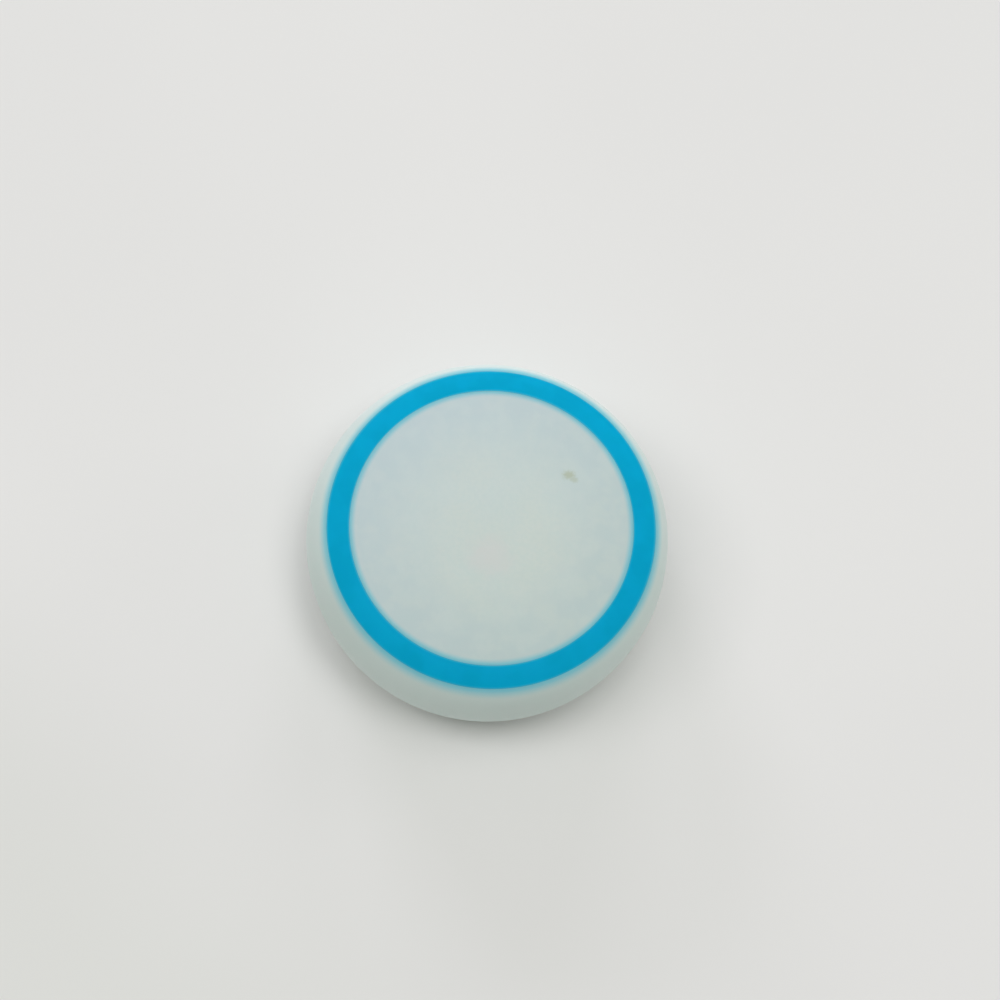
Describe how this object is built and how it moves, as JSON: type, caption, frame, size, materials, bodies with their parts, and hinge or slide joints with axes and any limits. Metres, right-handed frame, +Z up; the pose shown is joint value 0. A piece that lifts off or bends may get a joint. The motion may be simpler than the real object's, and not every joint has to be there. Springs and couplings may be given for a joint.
{
  "type": "controller thumb grip",
  "caption": "Round silicone thumbstick cap with a gently domed top, a flush cyan ring in its top edge and a lipped pocket underneath.",
  "frame": {"origin": "centre of the flat base, on the surface that the cap stands on", "axes": "+Z up along the cap's axis, from the open base towards the domed top; the cap is round, so X and Y are any two directions across it"},
  "size_m": [0.021, 0.021, 0.008],
  "materials": {
    "milky_silicone": "matt, milky and slightly translucent moulded silicone with a faint blue-green tint",
    "cyan_silicone": "matt pigmented silicone, bright cyan blue"
  },
  "bodies": {
    "root": {"grip_cap": "milky_silicone", "colour_ring": "cyan_silicone"}
  },
  "joints": []
}
